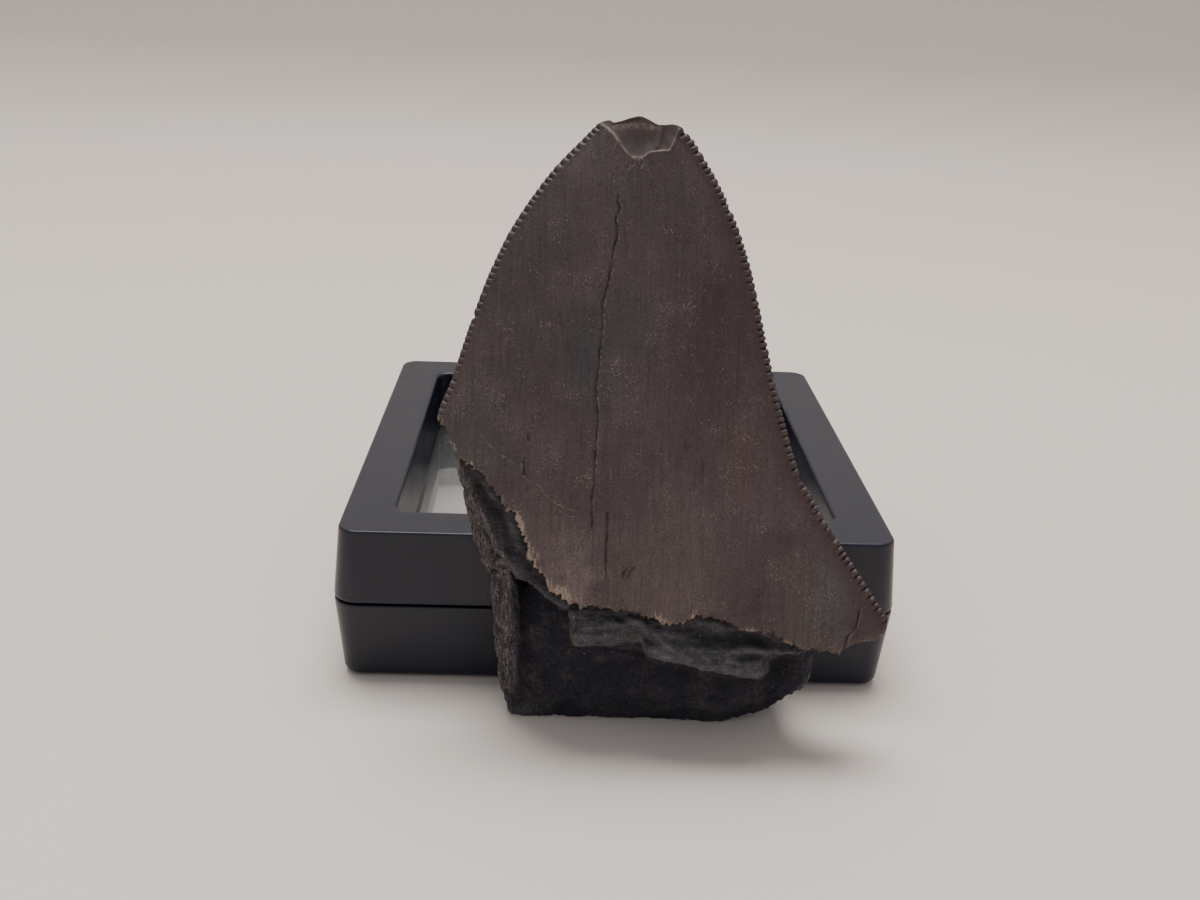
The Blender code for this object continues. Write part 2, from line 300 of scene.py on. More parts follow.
tipChip = {
    "rim": [(-4.6, 72.9), (-3.6, 72.35), (-2.9, 71.75), (-2.3, 71.1), (-1.9, 70.5), (-1.4, 69.8),
        (-0.9, 69.3), (-0.4, 68.95), (0.3, 68.85), (0.8, 69.0), (1.5, 69.5), (2.1, 69.65), (3.1, 69.8),
        (3.6, 69.85), (3.9, 70.2), (4.2, 70.9), (4.5, 71.7), (4.9, 73.0)],
    "pale": [(-4.5, 0.5), (-3.3, 0.8), (-1.5, 0.75), (-0.4, 0.95), (0.6, 0.95), (1.6, 0.75),
        (3.8, 0.7), (4.2, 0.3), (4.7, 0.25)],
    "ledge": [(-2.4, 72.35), (-1.2, 72.5), (0.0, 72.55), (1.2, 72.5),
        (2.4, 72.3)],  # pale step under the peak
    "wedgeShadow": [(-2.6, 72.62), (-1.5, 72.88), (-0.6, 73.14), (0.3, 73.32)],  # painted shadow in the gap left of it
    "pits": (0.6, 68.2, 2.1, 0.7),  # pitted patch below the rim, with painted shade in its pits and painted highlight between them: x, z, half-width, half-height
    "pitDepth": 0.025,
    "paleWidth": [(-4.0, 0.24), (-2.0, 0.2), (-1.0, 0.1)],  # x, width
    "paleShift": 0.05, "paleFrom": 68,
    "ledgePale": 0.62, "ledgeWidth": 0.28, "wedgeShadowWidth": 0.13,
    "rimLift": 0.04, "rimWidth": 0.2,
    "deep": 0.6, "fall": 0.8, "reach": 6.0,
    "span": (0.15, 4.75),  # its middle and half its width
    "waves": [(0.07, 0.9, 3.3, (1, 1.6, 1))],
    "crease": (0.2, 2.3, 70, 0.2, 0.3),  # depth, x and z, slant, width
    "wall": (0.22, 67.5, 70.0),  # mm left behind the scoop, and the heights it begins and is full at
}
leftEdge = smoothLine(crown["leftEdge"])
leftBreak = smoothLine(crown["leftBreak"])
leftLine = np.vstack([leftEdge, leftBreak[1:]])
rightLine = smoothLine(crown["rightEdge"])
topLine = smoothLine(crown["topRim"])
lowLine = smoothLine(crown["lowerMargin"])
grown = smoothLine(crown["grownEdges"])
bulge = smoothLine(crown["bulge"])
chipLine = smoothLine(tipChip["rim"], 200)
ledgeLine = smoothLine(tipChip["ledge"], 60)
wedgeShadowLine = smoothLine(tipChip["wedgeShadow"], 60)
crackLines = [smoothLine(c, 160) for c in cracks["deep"] + cracks["faint"]]
crackStrengths = [1.0] * len(cracks["deep"]) + [cracks["faintness"]] * len(cracks["faint"])
scratchLines = [smoothLine(c, 120) for c in cracks["light"]]


def crownPlace(s, t):
    # a patch of four sides: s runs from left to right, t from the tip down
    left, right = sampleLine(leftLine, t), sampleLine(rightLine, t)
    top, low = sampleLine(topLine, s), sampleLine(lowLine, s)
    s, t = s[:, None], t[:, None]
    corners = (1 - s) * (1 - t) * leftLine[0] + s * (1 - t) * rightLine[0]
    corners = corners + (1 - s) * t * leftLine[-1] + s * t * rightLine[-1]
    return (1 - s) * left + s * right + (1 - t) * top + t * low - corners


def faceDepth(xz, back):
    x, z = xz[:, 0], xz[:, 1]
    left = np.interp(z, grown[:, 0], grown[:, 1])
    right = np.interp(z, grown[:, 0], grown[:, 2])
    height = np.interp(z, bulge[:, 0], bulge[:, 2 if back else 1])
    u = np.clip((x - left) / (right - left), 0, 1)
    rim = crown["edgeHalf"]
    depth = rim + (height - rim) * (4 * u * (1 - u)) ** crown["dome"][1 if back else 0]
    return depth if back else -depth


def crownSheet(back):
    # a grid, made finer near its sides and, in front, near the cracks
    bm = bmesh.new()
    bmesh.ops.create_grid(bm, x_segments=crown["cells"][0], y_segments=crown["cells"][1], size=0.5)
    for sides, top, low, mark in crown["finerBack" if back else "finerFront"]:
        faces = list(bm.faces)
        middles = np.array([f.calc_center_median()[:2] for f in faces]) + 0.5
        s, t = middles[:, 0], 1 - middles[:, 1]
        xz = crownPlace(s, t)
        wide = np.linalg.norm(sampleLine(leftLine, t) - sampleLine(rightLine, t), axis=1)
        tall = np.linalg.norm(sampleLine(topLine, s) - sampleLine(lowLine, s), axis=1)
        wanted = (s * wide < sides) | ((1 - s) * wide < sides) | (t * tall < top) | ((1 - t) * tall < low)
        for line in [] if back else crackLines + scratchLines:
            wanted |= nearest(line, xz, crown["finerReach"])[0] < mark
        edges = {e for f, hit in zip(faces, wanted) if hit for e in f.edges}
        bmesh.ops.subdivide_edges(bm, edges=list(edges), cuts=1, use_grid_fill=True)
    mesh = bpy.data.meshes.new("sheet")
    bm.to_mesh(mesh)
    bm.free()
    st = vertexValues(mesh, "co")[:, :2] + 0.5
    st[:, 1] = 1 - st[:, 1]
    return mesh, st


def serrate(xz, depth, line, spec, side, back):
    # side is -1 on the left edge and 1 on the right
    c = serration
    dist, along = nearest(line, xz, edgeZone["reach"])
    close = dist < edgeZone["near"]
    phase = along / c["pitch"]
    for much, rate, shift in c["drift"]:
        phase = phase + much * np.sin(along * rate + shift * side)
    bead = np.abs(np.sin(np.pi * phase)) ** c["crest"]
    length = arcs(line)
    tangent = np.gradient(line, length, axis=0)
    inward = np.stack([np.interp(along, length, tangent[:, 1]), -np.interp(along, length, tangent[:, 0])], -1)
    inward = side * inward / np.maximum(np.linalg.norm(inward, axis=1), 1e-9)[:, None]
    # no two beads are quite alike
    vary = 1.0 + 0.25 * np.sin(along * 0.83 + 2 * side) * np.cos(along * 0.37) + 0.2 * np.sin(along * 2.7)
    worn = np.zeros(len(xz))
    for x, z, size in c["chips"]:
        worn = np.maximum(worn, np.exp(-(((xz[:, 0] - x) ** 2 + (xz[:, 1] - z) ** 2) / size ** 2)))
    bite = spec["notch"] * vary * (1 - bead) * (1 - worn) * np.exp(-dist / c["notchFade"])
    bite = bite + c["chipBite"] * worn * np.exp(-dist / c["chipFade"])
    xz = xz + inward * np.where(close, bite, 0)[:, None]
    reach = spec["reach"]
    vary *= c["backShare"] if back else 1.0
    sink = spec["groove"] * vary * (1 - bead) * (1 - ease(dist, 0.45 * reach, reach)) * (1 - worn)
    swell = spec["bead"] * bead * fall(dist - c["beadAt"], c["beadWide"]) * (1 - worn)
    valley = spec["valley"] * fall(dist - reach - c["valleyAt"], c["valleyWide"])
    change = np.where(close, swell - sink - valley - c["chipDepth"] * worn, 0)
    # the grooves between the beads, marked for painted shade
    groove = np.where(close, (1 - bead) * (1 - ease(dist, 0.5 * reach, reach)), 0)
    return xz, depth + (change if back else -change), groove, dist


def jagged(along, seed):
    at = np.column_stack([along, np.zeros_like(along), np.full_like(along, seed)])
    return sum(deep * bumps(at, size, seed) for deep, size in zip(margin["jag"], margin["size"]))


def frayed(xz, dist, onLeft):
    # flaked most in the left break and low in the middle, least towards the lobe
    c = margin["fray"]
    onBreak = c["break"][0] * ease(-xz[:, 1], *c["break"][1:])
    level = c["level"] + c["vary"] * bumps(xz, c["size"], 31.0) + np.where(onLeft, onBreak, 0.0)
    more, x, wide = c["middle"]
    less, start, end = c["lobe"]
    level += more * fall(xz[:, 0] - x, wide) - less * ease(xz[:, 0], start, end)
    level = np.clip(level, *c["limits"])
    return level * np.exp(-dist / (c["run"][0] + c["run"][1] * level))


def neckBand(xz):
    # behind, the enamel ends in a chevron; a dull band lies between it and the root
    c = neck
    chevron = c["top"] - c["slope"] * np.abs(xz[:, 0] - c["middle"]) + c["wander"] * bumps(xz, c["size"], 6.0)
    return 1 - ease(xz[:, 1], chevron - c["soft"][0], chevron + c["soft"][1])


def chipScoop(xz):
    # how deep the broken tip is hollowed, the distance from the chip's rim, and what lies inside it
    c = tipChip
    dist = nearest(chipLine, xz, c["reach"])[0]
    x, halfWidth = c["span"]
    inside = xz[:, 1] > np.interp(xz[:, 0], chipLine[:, 0], chipLine[:, 1])
    inside &= np.abs(xz[:, 0] - x) < halfWidth
    scoop = c["deep"] * (1 - np.exp(-dist / c["fall"])) + waves(xz, c["waves"])
    deep, x, z, slant, wide = c["crease"]
    scoop -= deep * fall(xz[:, 0] - x - slant * (xz[:, 1] - z), wide) * ease(dist, 0.1, 0.6)
    return scoop * inside * ease(dist, 0.0, 0.12), dist, inside


def chipRimMark(xz, dist, inside):
    # pale along the chip's rim and on the step under the peak
    c = tipChip
    bright = np.interp(xz[:, 0], *np.transpose(c["pale"]))
    wide = np.interp(xz[:, 0], *np.transpose(c["paleWidth"]))
    rim = bright * fall(dist + np.where(inside, -c["paleShift"], c["paleShift"]), wide)
    rim *= patchy(xz, 0.75, 0.9, 0.35, 6.6, 0.1, 1.2)
    ledge = c["ledgePale"] * fall(nearest(ledgeLine, xz, 2.0)[0], c["ledgeWidth"])
    rim = np.maximum(rim, ledge * patchy(xz, 0.7, 1.1, 0.4, 2.2))
    return np.where(xz[:, 1] > c["paleFrom"], rim, 0)


def crackMarks(xz, inside):
    # what the cracks and pits sink, then the dark marks (the cracks, with painted shadow in the gap by the
    # peak and painted shade in the pits) and the pale marks (scratches and the crack's lip, with painted
    # highlight between the pits)
    c = cracks
    wobble = xz + c["wobble"] * np.column_stack([bumps(xz, 0.6, 11.0), bumps(xz, 0.6, 17.0)])
    crack = np.zeros(len(xz))
    for line, strength in zip(crackLines, crackStrengths):
        crack = np.maximum(crack, strength * fall(nearest(line, wobble, 1.5)[0], c["width"]))
    crack *= np.clip(0.75 + 0.9 * bumps(xz, 0.9, 21.0, (1, 1.4, 1)) + 0.5 * bumps(xz, 0.3, 8.0), 0.1, 1.0)
    wedgeShadow = fall(nearest(wedgeShadowLine, xz, 1.5)[0], tipChip["wedgeShadowWidth"])
    x, z, wide, high = tipChip["pits"]
    pits = np.exp(-(((xz[:, 0] - x) / wide) ** 2) - ((xz[:, 1] - z) / high) ** 2) * ~inside
    pitted = bumps(xz, 0.2, 14.0)
    dark = np.maximum(np.maximum(crack, 0.75 * wedgeShadow), 0.9 * pits * np.clip(3.0 * pitted, 0, 1))
    scratch = np.zeros(len(xz))
    for line in scratchLines:
        scratch = np.maximum(scratch, fall(nearest(line, wobble, 1.5)[0], c["scratchWidth"]))
    scratch *= patchy(xz, 0.5, 0.9, 0.7, 27.0, 0.1, 1.0)
    lip = fall(nearest(crackLines[0], wobble - (c["lipShift"], 0), 1.5)[0], c["lipWidth"])
    scratch = np.maximum(scratch, lip * patchy(xz, 0.25, 1.6, 0.45, 33.0))
    # painted highlight where the pitted patch rises between its pits
    pale = np.maximum(scratch, 0.75 * pits * np.clip(-3.5 * pitted - 0.6, 0, 1))
    return (c["depth"] * crack, tipChip["pitDepth"] * pits * pitted), dark, pale


def shapeSheet(st, back):
    xz = crownPlace(st[:, 0], st[:, 1])
    breakDist, breakAlong = nearest(leftBreak, xz, edgeZone["reach"])
    lowDist, lowAlong = nearest(lowLine, xz, edgeZone["reach"])
    marginDist = np.minimum(breakDist, lowDist)
    nearMargin = marginDist < edgeZone["near"]
    onLeft = breakDist < lowDist
    push = np.where(onLeft, margin["leftPush"] * jagged(breakAlong, 1.7), jagged(lowAlong, 9.2))
    fade = np.exp(-marginDist / margin["fade"]) * nearMargin
    xz[:, 1] += push * fade
    xz[:, 0] += np.where(onLeft, margin["sideways"] * push * fade, 0)
    depth = faceDepth(xz, back)
    xz, depth, grooveShadeLeft, distLeft = serrate(xz, depth, leftEdge, serration["left"], -1, back)
    xz, depth, grooveShadeRight, distRight = serrate(xz, depth, rightLine, serration["right"], 1, back)
    masks = {
        "groove": np.maximum(grooveShadeLeft, grooveShadeRight),
        "edgeBand": (1 - ease(distRight, 0.8, 3.4)) + 0.4 * (1 - ease(distLeft, 0.6, 2.0)),
        "fray": frayed(xz, marginDist, onLeft) * (margin["frayBehind"] if back else 1.0),
        "broken": fall(marginDist, margin["brokenWidth"]),
        "neck": neckBand(xz) * back,
    }
    scoop, dist, inside = chipScoop(xz)
    if back:
        depth += waves(xz, crown["backWaves"])
        thin, start, end = tipChip["wall"]
        depth = np.maximum(depth, (scoop + thin) * ease(xz[:, 1], start, end))
        masks.update({name: np.zeros(len(xz)) for name in ("chipRim", "chip", "crack", "scratch")})
        return np.column_stack([xz[:, 0], depth, xz[:, 1]]), masks
    depth += waves(xz, crown["frontWaves"])
    flaked = 0.55 + 0.9 * bumps(xz, 0.8, 4.4, (0.6, 1.5, 1)) - marginDist / margin["fade"]
    depth += margin["flake"] * ease(flaked, 0.0, 0.5) * nearMargin
    depth += scoop - tipChip["rimLift"] * (1 - inside) * fall(dist, tipChip["rimWidth"])
    masks["chipRim"] = chipRimMark(xz, dist, inside)
    masks["chip"] = inside * ease(dist, 0.0, 0.2)
    sinks, masks["crack"], masks["scratch"] = crackMarks(xz, inside)
    for sink in sinks:
        depth += sink
    return np.column_stack([xz[:, 0], depth, xz[:, 1]]), masks


def makeCrown(material):
    bm = bmesh.new()
    sheets = []
    for back in (False, True):
        mesh, st = crownSheet(back)
        co, masks = shapeSheet(st, back)
        setCoords(mesh, standTooth(co))
        bm.from_mesh(mesh)
        sheets.append(masks)
        bpy.data.meshes.remove(mesh)
    bmesh.ops.bridge_loops(bm, edges=[e for e in bm.edges if e.is_boundary])
    bmesh.ops.recalc_face_normals(bm, faces=bm.faces)
    piece = finishPiece("toothCrown", bm, material, "tooth")
    addMarks(piece, {name: np.concatenate([masks[name] for masks in sheets]) for name in sheets[0]})


# root: what is left of it, joined from broken lumps and roughened
root = {
    "voxel": 0.225,
    "lumps": {  # corner points of each lump: x, depth behind the blade's plane, z
        "pillar": [(-12.5, 4.5, 18.8), (-12.2, 6.5, 13.9), (-11.9, 9.0, 8.6), (-11.6, 11.2, 3.8),
            (-14.7, 7.0, 19.6), (-14.7, 9.0, 13.4), (-14.3, 9.5, 10.9), (-13.7, 10.5, 6.8),
            (-12.8, 11.0, 4.2), (-10.4, 12, 18), (-9.0, 14, 6), (-14, 12.5, 18), (-13.2, 15.5, 8),
            (-12.5, 17.2, 4.2), (-8.5, 15, 3.4), (-15.4, 8, 23), (-12.6, 5, 23), (-9.0, 13.4, 3.6)],
        "core": [(-11.2, 8.2, 18.5), (-6.3, 7.4, 16.4), (-4.8, 6.0, 13.2), (2.3, 5.0, 13.9),
            (6.4, 4.2, 11.8), (13.3, 3.6, 10.4), (18.0, 4.4, 10.5), (-11.5, 11.2, 4.0),
            (-4.4, 11.5, 4.1), (2.2, 11.5, 4.0), (8.7, 10.9, 3.6), (12.9, 10.7, 3.8),
            (17.8, 10.0, 5.2), (20.2, 8.5, 7.2), (21.9, 6.6, 9.2), (21.4, 5.0, 12.0),
            (-12.5, 17.2, 4.4), (2.0, 18.2, 4.6), (16.5, 17.4, 6.4), (20.5, 14.0, 10.0),
            (21.0, 12.0, 15.0), (18.0, 9.0, 22.0), (-13.5, 11.0, 22.0), (3.0, 12.5, 20.0)],
        "shoulder": [(-19.2, 4.0, 35.5), (-18.9, 4.5, 33.0), (-18.2, 5.0, 30.9), (-17.3, 5.5, 28.8),
            (-17.3, 6.0, 26.8), (-16.9, 6.5, 24.1), (-15.9, 6.6, 22.3), (-15.2, 6.4, 21.2),
            (-19.1, 2.0, 35.5), (-18.8, 5.4, 36.0), (-17.2, 7.0, 32.0), (-15.5, 8.2, 29.0),
            (-13.0, 9.0, 26.5), (-12.0, 9.6, 24.0), (-16.4, 1.4, 31.0), (-14.4, 1.0, 25.8),
            (-18.9, 0.7, 36.2), (-13.8, 0.3, 30.6), (-11.6, 0.3, 27.0), (-13.0, 4.8, 22.6),
            (-5.0, 0.3, 30.0), (-6.0, 3.0, 24.0), (-13.0, 9.0, 26.0)],
        "heelLeft": [(-12.5, 7.0, 25.0), (-14.2, 8.0, 22.0), (-13.2, 12.0, 21.0), (-10.0, 13.5, 22.0),
            (-8.0, 14.0, 18.0), (-12.8, 13.5, 15.0), (-8.0, 10.0, 27.0), (-5.0, 11.0, 24.0),
            (-9.0, 9.0, 14.0)],
        "lip": [(-16.2, 1.6, 30.6), (-14.4, 0.9, 25.8), (-11.6, 0.3, 22.5), (-8.2, -0.1, 20.6),
            (-6.1, -0.5, 19.0), (-13.6, 0.2, 30.2), (-11.4, 0.0, 26.6), (-10.0, -0.2, 23.6),
            (-5.5, -0.3, 20.5), (-4.0, 0.0, 24.0), (-13.2, 4.6, 23.2), (-9.4, 4.4, 20.6),
            (-5.4, 4.2, 18.2), (-3.0, 5.0, 20.0), (-10.0, 6.0, 27.0)],
        "ledgeLeft": [(-6.0, -0.6, 18.6), (-5.6, -0.7, 15.7), (-3.6, -0.9, 15.6), (-2.6, -0.9, 16.8),
            (1.6, -0.9, 17.0), (-3.9, 0.2, 19.4), (0.7, 0.2, 19.2), (4.0, 0.2, 18.4),
            (3.4, -0.6, 16.2), (-5.1, 3.6, 14.4), (1.5, 3.6, 14.6), (4.4, 5.0, 13.0),
            (-6.0, 6.0, 15.6), (-5.3, 0.6, 14.6), (2.2, 0.8, 15.0)],
        "ledgeRight": [(2.7, -0.8, 14.6), (3.2, -0.8, 14.0), (5.9, -1.0, 13.5), (9.2, -1.1, 12.5),
            (12.2, -1.1, 12.2), (15.7, -0.9, 11.8), (16.6, 0.4, 12.0), (0.8, 0.0, 18.6),
            (6.7, 0.2, 17.9), (11.8, 0.3, 17.8), (16.9, 0.3, 16.8), (3.0, 4.4, 12.4),
            (16.0, 4.4, 10.2), (18.0, 5.0, 12.0), (2.4, -0.7, 15.6)],
        "backing": [(x, y, z + rise) for x, z in ((-7.0, 19.9), (-4.0, 19.2), (4.0, 18.2),
            (12.0, 17.4), (16.5, 16.4), (20.0, 15.0))
                    for y, rise in ((-0.5, 0.6), (0.3, -0.7), (5.0, 1.5), (5.0, -2.0))],
        "rightRim": [(12.0, 0.2, 15.2), (17.0, 0.0, 14.4), (20.4, 0.9, 14.3), (21.6, 4.0, 13.4),
            (22.0, 5.0, 11.4), (22.2, 7.0, 9.0), (19.6, 0.3, 16.0), (22.8, 1.6, 15.4),
            (21.4, 8.0, 9.0), (21.0, 9.0, 14.0), (17.0, 5.0, 13.0), (19.5, 5.6, 11.0)],
    },
    "heel": {"middle": (3.0, 9.8, 17.5), "radii": (17.2, 5.0, 9.6)},  # the swelling behind
    "strokes": [  # points (x, depth, z), radius, lift in mm; a negative lift cuts in
        ([(7.7, -0.2, 14.6), (9.4, -0.2, 14.2), (11.1, -0.2, 14.0), (12.8, -0.2, 14.3),
            (14.3, -0.2, 14.7), (15.6, -0.2, 14.5), (17.0, -0.2, 14.2), (18.5, 0.2, 14.5),
            (19.8, 0.6, 14.7)], 0.5, 0.55),
        ([(9.1, 0, 13.2), (10.6, 0, 13.1)], 0.75, -0.95),
        ([(14.0, 0, 13.4), (15.0, 0, 13.6)], 0.75, -0.85),
        ([(16.9, 0, 13.0), (17.6, 0.6, 12.8)], 0.7, -0.8),
        ([(12.7, -0.6, 12.6)], 0.3, -0.5), ([(10.9, -0.8, 12.0)], 0.28, -0.45),
            ([(11.1, -0.6, 12.8)], 0.3, -0.45),
        ([(8.0, 0, 16.2), (10.5, 0, 15.7), (13.5, 0, 15.8), (16.5, 0, 15.5)], 0.9, -0.55),
        ([(-0.4, -0.6, 17.8), (0.9, -0.6, 17.1), (2.3, -0.6, 15.8), (3.8, -0.6, 14.8)], 0.35, -0.4),
        ([(-0.1, -0.7, 18.6), (2.0, -0.7, 17.5), (3.7, -0.7, 16.2), (5.2, -0.7, 14.6),
            (7.7, -0.7, 13.3)], 0.4, 0.35),
        ([(-5.3, -0.8, 15.9), (-3.5, -0.8, 15.8)], 0.3, 0.3),
        ([(-2.6, -0.8, 17.0), (-0.9, -0.8, 17.2), (1.6, -0.8, 17.3), (2.8, -0.8, 16.4)], 0.35, 0.2),
        ([(-4.6, -0.4, 18.0), (-2.4, -0.4, 18.2), (-0.6, -0.4, 18.2)], 0.6, -0.25),
        ([(2.6, -1.0, 14.3), (3.8, -1.0, 13.8), (5.5, -1.0, 13.4), (7.7, -1.0, 12.8),
            (10.9, -1.0, 12.1), (13.4, -1.0, 11.9), (16.0, -0.9, 11.8)], 0.35, 0.3),
        ([(-18.5, 1.2, 34.8), (-17.9, 1.2, 33.3), (-16.9, 1.2, 31.4), (-15.7, 1.1, 29.2),
            (-14.9, 1.0, 27.4), (-14.2, 1.0, 25.5), (-13.3, 0.8, 24.2), (-11.8, 0.4, 22.8),
            (-10.4, 0.2, 21.4), (-8.7, 0, 20.6), (-7.5, 0, 19.9), (-6.2, -0.3, 18.9)], 0.5, 0.6),
        ([(-16.9, 0.6, 32.8), (-15.3, 0.4, 30.3), (-14.0, 0.4, 28.4), (-13.2, 0.4, 26.8),
            (-12.5, 0.3, 25.3), (-11.0, 0.2, 23.8), (-9.3, 0.1, 22.0), (-7.5, 0, 20.7)], 0.7, -0.5),
        ([(-16.6, 2.2, 28.8), (-15.6, 2.6, 25.9), (-14.9, 3.0, 24.4), (-14.2, 3.4, 23.4)], 0.45, -0.9),
        ([(-17.6, 3.0, 31.5), (-16.9, 3.2, 29.0)], 0.4, -0.5),
        ([(-14.8, 5.6, 22.0), (-14.5, 6.0, 20.7)], 0.5, -0.9),
        ([(-13.1, 5.2, 22.6), (-12.4, 5.4, 19.7), (-12.1, 6.6, 16.1), (-12.2, 7.4, 12.6),
            (-12.0, 9.0, 8.6)], 0.45, 0.3),
        ([(-13.6, 6.5, 20.0), (-13.4, 8.0, 16.0), (-13.3, 9.0, 12.0), (-12.9, 10.0, 8.0)], 0.5, -0.35),
        ([(-8.5, 7.9, 17.2), (-6.5, 7.6, 14.5), (-1.0, 7.0, 12.6), (4.0, 6.0, 11.6), (10.0, 5.4, 10.2),
            (15.0, 5.0, 9.6)],
         1.3, -0.9),
        ([(19.1, 2.4, 12.9), (18.8, 3.4, 11.5), (18.4, 4.4, 10.3)], 1.5, -1.0),
        ([(21.4, 3.8, 13.2), (21.9, 4.8, 12.0), (22.0, 5.8, 10.3), (21.4, 6.6, 9.1)], 0.5, 0.4),
        ([(-11.8, 11.0, 4.5), (-9.0, 11.0, 6.0), (-9.5, 10.0, 9.0)], 1.0, 0.35),
        ([(6.0, 9.0, 6.8), (9.0, 8.4, 7.4), (12.5, 8.6, 6.6)], 1.2, 0.4),
        ([(14.5, 7.4, 8.0), (18.0, 7.0, 8.4)], 0.8, -0.5),
    ],
    "ridge": [(-19.2, 36.5), (-18.5, 34.8), (-17.9, 33.3), (-16.9, 31.4), (-15.7, 29.2), (-14.9, 27.4),
        (-14.2, 25.5), (-13.3, 24.2), (-11.8, 22.8), (-10.4, 21.4), (-8.7, 20.6), (-7.5, 19.9),
        (-6.2, 18.9)],  # x, z
    "fullySunk": 0.7,  # mm of cut that is marked as fully sunk, and gets the full painted shade
    "undercut": (0.55, 0.75),  # painted shade on the bone below the enamel's edge: mm, strength
    "edgeNoise": 0.32,  # mm of broken roughness
    "fibre": 0.24,
    "lumpy": [(0.30, 3.2, 1.0), (0.22, 1.3, 5.0)],  # height, size, seed, stretch
    "grain": [(0.15, 0.5, 9.0)],
    "layers": [(0.22, 0.55, 13.0, (5.0, 2.0, 1.0))],
}


def joinLumps():
    bm = bmesh.new()
    for points in root["lumps"].values():
        lump = [bm.verts.new(p) for p in points]
        hull = bmesh.ops.convex_hull(bm, input=lump)
        spare = {v for v in hull["geom_interior"] + hull["geom_unused"] if isinstance(v, bmesh.types.BMVert)}
        bmesh.ops.delete(bm, geom=list(spare), context="VERTS")
    place = Matrix.Translation(root["heel"]["middle"]) @ Matrix.Diagonal((*root["heel"]["radii"], 1.0))
    bmesh.ops.create_uvsphere(bm, u_segments=40, v_segments=24, radius=1.0, matrix=place)
    mesh = bpy.data.meshes.new("rootRough")
    bm.to_mesh(mesh)
    bm.free()
    rough = bpy.data.objects.new("rootRough", mesh)
    bpy.context.scene.collection.objects.link(rough)
    remesh = rough.modifiers.new("join", "REMESH")
    remesh.mode = "VOXEL"
    remesh.voxel_size = root["voxel"]
    graph = bpy.context.evaluated_depsgraph_get()
    joined = bpy.data.meshes.new_from_object(rough.evaluated_get(graph))
    bpy.data.objects.remove(rough)
    bm = bmesh.new()
    bm.from_mesh(joined)
    bmesh.ops.smooth_vert(bm, verts=bm.verts, factor=0.5, use_axis_x=True, use_axis_y=True, use_axis_z=True)
    bm.to_mesh(joined)
    bm.free()
    return joined


def strokeRoot(co):
    # how far the strokes lift each point; where they raised it is marked for paler wear and painted
    # highlight, where they sank it for painted shade, which is also added on the bone below the enamel's edge
    move = np.zeros(len(co))
    liftedWearAndHighlight = np.zeros(len(co))
    sunkShade = np.zeros(len(co))
    for points, radius, lift in root["strokes"]:
        line = smoothLine(points, 60) if len(points) > 2 else np.array([points[0], points[-1]], float)
        press = fall(nearest(line, co, 3 * radius)[0], radius)
        move += lift * press
        if lift > 0:
            liftedWearAndHighlight = np.maximum(liftedWearAndHighlight, press)
        else:
            sunkShade = np.maximum(sunkShade, press * min(1.0, -lift / root["fullySunk"]))
    under = np.minimum(nearest(lowLine, co[:, ::2], 2.0)[0], nearest(leftBreak, co[:, ::2], 2.0)[0])
    width, much = root["undercut"]
    return move, liftedWearAndHighlight, np.maximum(sunkShade, much * fall(under, width) * (1 - ease(co[:, 1], 1.5, 3.0)))


def rootFaces(co):
    # where the root has smooth faces, just under the enamel and on the ridge, and where it is fibrous
    x, y, z = co.T
    smooth = fall(np.maximum(np.abs(y + 0.3) - 0.8, 0), 0.9) * ease(z, 10.5, 12.0)
    ridge = np.interp(x, *np.array(root["ridge"]).T)
    band = ease(z - ridge, -0.1, 0.4) * fall(np.maximum(np.abs(y - 0.6) - 2.0, 0), 0.9) * ease(-x, 5.5, 6.5)
    smooth = np.maximum(smooth * ease(x, -6.5, -5.5), band)
    side = ease(-x, 11.6, 13.2) * (1 - band)
    torn = np.clip(side + ease(x, 16.0, 18.5), 0, 1)
    return smooth, side, torn


def makeRoot(material):
    mesh = joinLumps()
    co, normals = vertexValues(mesh, "co"), vertexValues(mesh, "normal")
    move, liftedWearAndHighlight, sunkShade = strokeRoot(co)
    co = co + normals * move[:, None]
    smooth, side, torn = rootFaces(co)
    lump = waves(co, root["lumpy"])
    broken = root["edgeNoise"] * (ridged(co, 1.7, 2.0) - 0.55) * (1 - 0.45 * smooth)
    grain = waves(co, root["grain"]) * (1 - 0.65 * smooth)
    fibre = root["fibre"] * (ridged(co, 1.0, 7.0, (1, 1, 4.5)) - 0.5) * (0.15 + 0.85 * side)
    layer = waves(co, root["layers"]) * smooth
    world = standTooth(co + normals * (lump + broken + grain + fibre + layer)[:, None])
    world[:, 2] = np.maximum(world[:, 2], 0.0)  # cut flat where it stands
    setCoords(mesh, world)
    # the relief is kept as a mark, which the finish turns into painted light on its rises and painted shade
    # in its hollows
    relief = grain + fibre + layer + broken + 0.3 * lump
    bm = bmesh.new()
    bm.from_mesh(mesh)
    bmesh.ops.recalc_face_normals(bm, faces=bm.faces)
    piece = finishPiece("toothRoot", bm, material, "tooth")
    addMarks(piece, {"smoothFace": smooth, "side": side, "relief": np.clip(0.5 + relief / 0.7, 0, 1),
                     "liftedWearAndHighlight": liftedWearAndHighlight, "sunkShade": sunkShade, "torn": 0.25 + 0.75 * torn})


